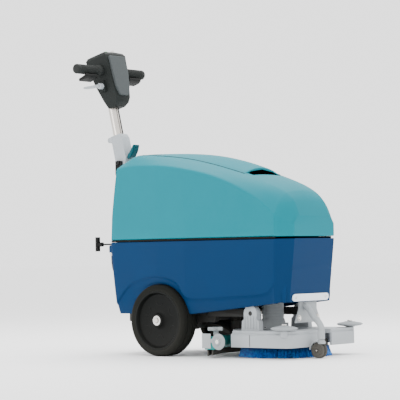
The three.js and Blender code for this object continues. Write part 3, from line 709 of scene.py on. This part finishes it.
def caster():
    softened("caster_bracket", CAST, 1.6)
    caster_hood()
    softened("caster_axle", STEEL, 0.8)
    plate = 496
    for i, (y, z) in enumerate(((-36, 207), (36, 207), (-52, 132), (52, 132))):
        bolt = [(0.1, 0), (7.5, 0), (7.5, 3.6), (6.6, 4.6), (0.1, 4.6)]
        lathe(f"plate_bolt_{i}", bolt, "z", (0, 0, 0), "chassis", CHROME, sides=6, closed=False,
              place=lambda a, b, h, y=y, z=z: at(plate + h, y + a, z + b))
        ring = [(7, 0), (10.5, 0), (10.5, 1.2), (7, 1.2)]
        lathe(f"plate_washer_{i}", ring, "z", (0, 0, 0), "chassis", STEEL, sides=24,
              place=lambda a, b, h, y=y, z=z: at(plate + h, y + a, z + b))
    for name, _ in SIDES:
        centre, size = middle(f"caster_wheel_{name}")
        c = tuple(v / MM for v in centre)
        r, half = size.x / MM, size.y / MM
        tread = [(6, -half), (r - 9, -half), (r - 8, -half + 1), (r - 4, -half + 0.5), (r - 0.6, -half + 3),
                 (r, 0), (r - 0.6, half - 3), (r - 4, half - 0.5), (r - 8, half - 1), (r - 9, half),
                 (6, half)]
        lathe(f"caster_wheel_shape_{name}", tread, "y", c, "caster_wheels", RUBBER, sides=56, place=in_frame,
              replaces=(f"caster_wheel_{name}",), slot="rubber")


def caster_hood():
    """A stem, a curved hood over the twin wheels and a web between them down to the axle."""
    right, size = middle("caster_wheel_right")
    left, _ = middle("caster_wheel_left")
    x, z, r = right.x / MM, right.z / MM, size.x / MM
    y, half = (right.y + left.y) / 2 / MM, 15
    hood = circle(x, z, r + 6, 55, 175, 14) + circle(x, z, r + 2.5, 175, 55, 14)
    prism("caster_hood", hood, "y", y - half, y + half, "caster", CAST, place=in_frame,
          replaces=("caster_fork",), slot="cast_grey", bevel=1.2)
    web = circle(x, z, r + 3, 70, 160, 8) + [(x - 6, z - 6), (x + 6, z - 6)]
    prism("caster_web", web, "y", y - 3, y + 3, "caster", CAST, place=in_frame, bevel=0.8)
    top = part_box("caster_fork")[1].z / MM
    stem = [(0.1, 2 * r - 4), (13, 2 * r - 4), (13, 2 * r + 4), (10, top - 1), (0.1, top - 0.4)]
    pivot = JOINTS["caster_swivel"]["pos_m"]
    lathe("caster_stem", stem, "z", (pivot[0] / MM, pivot[1] / MM, 0), "caster", CAST, sides=40,
          closed=False, place=in_frame)


def deck():
    softened("brush_deck", DECK, 2.5, 3)
    for name, s in SIDES:
        softened(f"lift_arm_{name}", FRAME, 1.8)
        softened(f"bumper_pin_{name}", CHROME, 1)
        centre, size = middle(f"bumper_roller_{name}")
        c = tuple(v / MM for v in centre)
        r, half = size.x / MM, size.z / MM
        lens = [(5.4, -half), (17, -half), (20, -half + 1.5), (r - 7, -4.5), (r - 1.5, -1.8), (r, 0),
                (r - 1.5, 1.8), (r - 7, 4.5), (20, half - 1.5), (17, half), (5.4, half)]
        lathe(f"bumper_shape_{name}", lens, "z", c, f"bumper_{name}", ROLLER, sides=72, place=in_frame,
              replaces=(f"bumper_roller_{name}",), slot="roller_grey")
        for k in range(5):
            x = 338 + 12 * k
            flute = rounded([(x - 2, 98), (x + 2, 98), (x + 2, 140), (x - 2, 140)], 1.5)
            prism(f"lug_flute_{name}_{k}", flute, "y", s * 151 - 1.5, s * 151 + 1.5, "deck", DECK, bevel=0.8)
        seam = [at(392, s * 193.6, 39), at(392, s * 193.6, 80)]
        tube(f"deck_seam_{name}", seam, 0.8, "deck", BLACK, sides=8)
        lip = [at(x, s * 193.5, 80.5) for x in range(318, 541, 6)]
        tube(f"deck_lip_{name}", lip, 1.6, "deck", DECK, sides=10)
    softened("lift_crossbar", STEEL, 1)
    column = [(0.1, 92.6), (48, 92.6), (48, 96), (45, 99), (44, 110), (41, 122), (39, 127), (37.6, 129)]
    for k in range(6):
        z = 134 + 10 * k
        column += [(37.6, z), (38.4, z + 1.5), (38.4, z + 5), (37.6, z + 6.5)]
    column += [(38, 196), (36, 200), (31, 202), (0.1, 202)]
    lathe("gear_motor_shape", column, "z", (344, 0, 0), "deck", CAST, sides=72, closed=False,
          replaces=("gear_motor",), slot="cast_grey")
    for i in range(6):
        turn = math.radians(60 * i + 30)
        lathe(f"motor_bolt_{i}", [(0.1, 96), (3.4, 96), (3.4, 99), (2.6, 100.2), (0.1, 100.4)], "z",
              (344 + 44 * math.cos(turn), 44 * math.sin(turn), 0), "deck", CHROME, sides=6, closed=False)


def brush():
    centre = (394, 0, 0)
    block = [(0.1, 34.4), (146, 34.4), (148, 36), (148, 52), (144, 58), (118, 59.4), (62, 59.8), (0.1, 60)]
    lathe("brush_block_shape", block, "z", centre, "brush", BLACK, sides=96, closed=False,
          replaces=("brush_block",), slot="black")
    dice = random.Random(7)
    verts, faces = [], []
    for ring in range(7):
        radius = 160 - 13.5 * ring
        tufts = round(2 * math.pi * radius / 13.0)
        strands = 16 if ring < 2 else 8
        for i in range(tufts):
            turn = 2 * math.pi * (i + 0.5 * (ring % 2)) / tufts
            lean = dice.uniform(-2.5, 2.5)
            for _ in range(strands):
                a, r0 = dice.uniform(0, 2 * math.pi), 3.6 * math.sqrt(dice.random())
                root = (radius - 13 + r0 * math.cos(a), r0 * math.sin(a))
                spread = 1.5 + 0.25 * dice.random()
                tip = (radius - 1.5 + spread * r0 * math.cos(a) * 0.6, spread * r0 * math.sin(a) + lean)
                low = dice.uniform(0.3, 2.2)
                strand_of(verts, faces, centre, turn, root, tip, low)
    piece("brush_tufts", verts, faces, "brush", NYLON, replaces=("brush_bristles",), slot="brush")


def strand_of(verts, faces, centre, turn, root, tip, low):
    """One three-sided nylon strand, bowed outward to its tip."""
    start = len(verts)
    c, s = math.cos(turn), math.sin(turn)
    for t in (0.0, 0.35, 0.7, 1.0):
        out = root[0] + (tip[0] - root[0]) * t ** 1.4
        side = root[1] + (tip[1] - root[1]) * t
        z = 35 + (low - 35) * t
        thick = 0.75 - 0.2 * t
        for k in range(3):
            a = 2 * math.pi * k / 3
            x, y = out + thick * math.cos(a), side + thick * math.sin(a)
            verts.append(at(centre[0] + x * c - y * s, centre[1] + x * s + y * c, z))
    for i in range(3):
        for k in range(3):
            a, b = start + 3 * i + k, start + 3 * i + (k + 1) % 3
            faces.append((a, b, b + 3, a + 3))
    faces.append((start + 9, start + 10, start + 11))


def squeegee():
    softened("squeegee_body", AQUA, 4, 3)
    softened("squeegee_blade_rear", RUBBER, 0.6)
    softened("squeegee_blade_front", RUBBER, 0.6)
    softened("squeegee_carrier", BLACK, 2)
    for name, s in SIDES:
        softened(f"squeegee_bracket_{name}", CAST, 2)
        softened(f"star_knob_{name}", ROLLER, 2, 3)
        centre, size = middle(f"side_roller_{name}")
        c = tuple(v / MM for v in centre)
        r, half = size.x / MM, size.y / MM
        disc = [(5.6, -half), (11, -half), (13, -half + 4), (r - 5, -half + 3), (r - 1.5, -half + 4.5),
                (r, 0),
                (r - 1.5, half - 4.5), (r - 5, half - 3), (13, half - 4), (11, half), (5.6, half)]
        lathe(f"side_roller_shape_{name}", disc, "y", c, f"roller_{name}", ROLLER, sides=56, place=in_frame,
              replaces=(f"side_roller_{name}",), slot="roller_grey")
        cap = [(0.1, half - 1), (7, half - 1), (7, half + 0.6), (5, half + 1), (0.1, half + 1)]
        lathe(f"roller_cap_{name}", [(q, s * h) for q, h in cap], "y", c, "squeegee", CHROME, sides=24,
              closed=False, place=in_frame)


# Hoses --------------------------------------------------------------------------------------------
def ribbed(name, line, radius, pitch, body, material, **extra):
    """A corrugated hose: rings every pitch millimetres along a line of frame points."""
    fine = evenly(line, pitch * MM / 4)
    waves = (len(fine) - 1) / 4
    return tube(name, fine, lambda t: radius - 0.9 + 0.9 * math.cos(2 * math.pi * waves * t), body, material,
                sides=28, **extra)


def hoses():
    top, bend, r = 371.7, 345, 112
    loop = [(-165, top), (-165, 358)] + circle(-53, bend, r, 180, 360, 24) + [(59, 358), (59, top)]
    line = [at(-246, y, z) for y, z in loop]
    hose = ribbed("drain_hose_shape", line, 14, 5, "chassis", RUBBER, replaces=("drain_hose",),
                  slot="rubber")
    for i, y in enumerate((-165, 59)):
        collar = [(14.6, 366), (19, 366), (20, 368), (20, 388), (18, 392), (0.1, 393)]
        lathe(f"hose_port_{i}", collar, "z", (-246, y, 0), "chassis", BLUE, sides=40, closed=False)
        clip = [(14.4, 355), (16, 355), (16, 363), (14.4, 363)]
        lathe(f"hose_clip_{i}", clip, "z", (-246, y, 0), "chassis", STEEL, sides=40)
    route = [at(*p) for p in ((180, 0, 119), (180, 0, 145), (184, 0, 175), (196, 0, 205), (200, 0, 230),
                              (200, 0, 257))]
    smooth = spline(route, 8)
    suction = ribbed("suction_hose_shape", smooth, 18, 6, None, RUBBER, replaces=("suction_hose",))
    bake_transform(suction)


# Handle -------------------------------------------------------------------------------------------
GRIP_AT = {"u": 16.7, "w": 351.5, "r": 18.5, "from": 54, "to": 183}


def handle():
    softened("handle_bracket", DECK, 2.5, 3)
    pole = [(17.2, 20.4), (18, 21), (18, 213.4), (17.2, 214), (0.1, 214), (0.1, 20.4)]
    lathe("handle_tube_shape", pole, "z", (0, 0, 0), "handle", STEEL, sides=64, place=on_handle,
          replaces=("handle_tube",), slot="steel")
    softened("control_rod", BLACK, 0)
    softened("head_shell", CHARCOAL, 9, 4, angle=25)
    softened("control_panel", PANEL, 1.2)
    softened("key_switch", CHROME, 1)
    softened("start_button", GREEN, 1.4, 3)
    softened("lock_lever", DARK_TEAL, 4, 3)
    softened("squeegee_lever", DECK, 3, 3)
    softened("pull_knob", BLACK, 3, 3)
    face = rounded([(-44, 398), (44, 398), (42, 330), (36, 280), (22, 244), (-22, 244), (-36, 280),
                    (-42, 330)], 7, 5)
    front = [[on_handle(front_u(w) + d, y * k, 318 + (w - 318) * k) for y, w in face]
             for d, k in ((-6, 1.0), (3.0, 1.0), (4.2, 0.95))]
    loft("front_panel", front, "handle", PANEL, bevel=0.8)
    for name, s in SIDES:
        grip(name, s)
        softened(f"trigger_{name}", BLACK, 2.4, 3)


def front_u(w):
    return along([(210, 38), (222, 57), (240, 66), (300, 68), (350, 68), (404, 66), (415, 59)], w)


def grip(name, s):
    r, low, high = GRIP_AT["r"], GRIP_AT["from"], GRIP_AT["to"]
    profile = [(0.1, low), (r + 3, low), (r + 3.4, low + 3), (r + 3, low + 12), (r - 1, low + 15)]
    y = low + 18
    while y < high - 16:
        profile += [(r - 1.6, y), (r - 0.3, y + 0.8), (r - 0.3, y + 3.2), (r - 1.6, y + 4)]
        y += 6
    profile += [(r - 1, high - 12), (r, high - 8), (r - 1, high - 3), (r - 5, high), (0.1, high)]
    centre = (GRIP_AT["u"], 0, GRIP_AT["w"])
    lathe(f"grip_shape_{name}", [(q, s * h) for q, h in profile], "y", centre, "handle", GRIP, sides=56,
          closed=False, place=on_handle, replaces=(f"grip_{name}",), slot="charcoal")


# Stage --------------------------------------------------------------------------------------------
CAMERA_PLACE = (3.94457, -4.7490, 0.3508)
CAMERA_TURN = (40.06, -1.83, 1.02)  # yaw, pitch and roll in degrees
CAMERA_LENS = 155.46


def stage():
    floor_mesh = bpy.data.meshes.new("floor")
    floor_mesh.from_pydata([(-40, -40, 0), (40, -40, 0), (40, 40, 0), (-40, 40, 0)], [], [(0, 1, 2, 3)])
    floor = bpy.data.objects.new("floor", floor_mesh)
    floor.location.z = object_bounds()[0][2] - 0.0005
    pale = surface("pale_floor", srgb(252, 252, 252), rough=0.6, grain=40, grain_depth=0.0, mottle=0.002,
                   wear=0)
    floor_mesh.materials.append(pale)
    bpy.context.scene.collection.objects.link(floor)
    floor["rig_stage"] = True
    world = bpy.data.worlds.new("studio")
    world.use_nodes = True
    world.node_tree.nodes["Background"].inputs["Color"].default_value = (1, 1, 1, 1)
    world.node_tree.nodes["Background"].inputs["Strength"].default_value = 2.2
    bpy.context.scene.world = world
    lamp("overhead", (-0.3, 0.6, 3.0), (0, 0, 0.6), 2.4, 120)
    lamp("key", (-1.6, -3.4, 1.6), (0, 0, 0.5), 1.6, 40)


def lamp(name, place, target, size, power):
    light = bpy.data.lights.new(name, "AREA")
    light.size = size
    light.energy = power
    obj = bpy.data.objects.new(name, light)
    obj.location = place
    obj.rotation_euler = (Vector(target) - Vector(place)).to_track_quat("-Z", "Y").to_euler()
    bpy.context.scene.collection.objects.link(obj)


def camera():
    yaw, pitch, roll = (math.radians(angle) for angle in CAMERA_TURN)
    ahead = Vector((-math.sin(yaw) * math.cos(pitch), math.cos(yaw) * math.cos(pitch), -math.sin(pitch)))
    right = Vector((math.cos(yaw), math.sin(yaw), 0))
    up = right.cross(ahead)
    x = right * math.cos(roll) - up * math.sin(roll)
    y = right * math.sin(roll) + up * math.cos(roll)
    lens = bpy.data.cameras.new("camera")
    lens.lens = CAMERA_LENS
    lens.sensor_width = 36
    obj = bpy.data.objects.new("camera", lens)
    turn = Matrix((x, y, -ahead)).transposed().to_4x4()
    obj.matrix_world = Matrix.Translation(CAMERA_PLACE) @ turn
    bpy.context.scene.collection.objects.link(obj)
    bpy.context.scene.camera = obj


camera()
hoses()
upper_tank()
lid()
lower_tank()
wheels()
caster()
deck()
brush()
squeegee()
handle()
stage()
